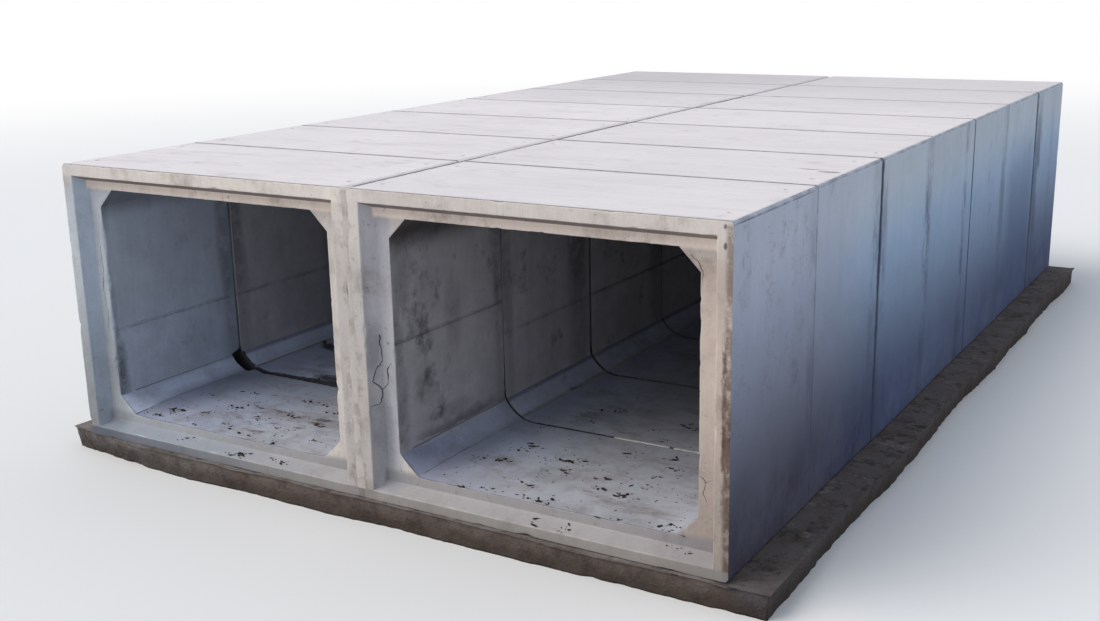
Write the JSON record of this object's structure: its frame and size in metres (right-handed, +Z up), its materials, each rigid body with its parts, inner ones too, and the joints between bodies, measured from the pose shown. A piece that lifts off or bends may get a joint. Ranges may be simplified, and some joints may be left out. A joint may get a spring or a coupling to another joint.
{
  "type": "box culvert",
  "caption": "Twin-row precast concrete box culvert: socketed box units with haunched cells, laid side by side on a poured concrete bed.",
  "frame": {"origin": "bottom centre of the bounding box, on the underside of the bed", "axes": "+Z up; +Y along the cells, from the socket end towards the tongue end; X across the two rows"},
  "size_m": [6.805, 10.7, 2.62],
  "materials": {
    "precast_concrete": "matte",
    "bed_concrete": "matte",
    "mortar": "matte",
    "joint_seal": "matte",
    "anchor_steel": "matte"
  },
  "bodies": {
    "root": {"unit_left_1": "precast_concrete", "unit_left_2": "precast_concrete", "unit_left_3": "precast_concrete", "unit_left_4": "precast_concrete", "unit_left_5": "precast_concrete", "unit_left_6": "precast_concrete", "unit_left_7": "precast_concrete", "unit_right_1": "precast_concrete", "unit_right_2": "precast_concrete", "unit_right_3": "precast_concrete", "unit_right_4": "precast_concrete", "unit_right_5": "precast_concrete", "unit_right_6": "precast_concrete", "unit_right_7": "precast_concrete", "joint_seal_left_1": "joint_seal", "joint_seal_left_2": "joint_seal", "joint_seal_left_3": "joint_seal", "joint_seal_left_4": "joint_seal", "joint_seal_left_5": "joint_seal", "joint_seal_left_6": "joint_seal", "joint_seal_right_1": "joint_seal", "joint_seal_right_2": "joint_seal", "joint_seal_right_3": "joint_seal", "joint_seal_right_4": "joint_seal", "joint_seal_right_5": "joint_seal", "joint_seal_right_6": "joint_seal", "joint_mortar_left": "mortar", "joint_mortar_right": "mortar", "row_grout": "mortar", "lifting_anchors_left": "anchor_steel", "lifting_anchors_right": "anchor_steel", "concrete_bed": "bed_concrete"}
  },
  "joints": []
}
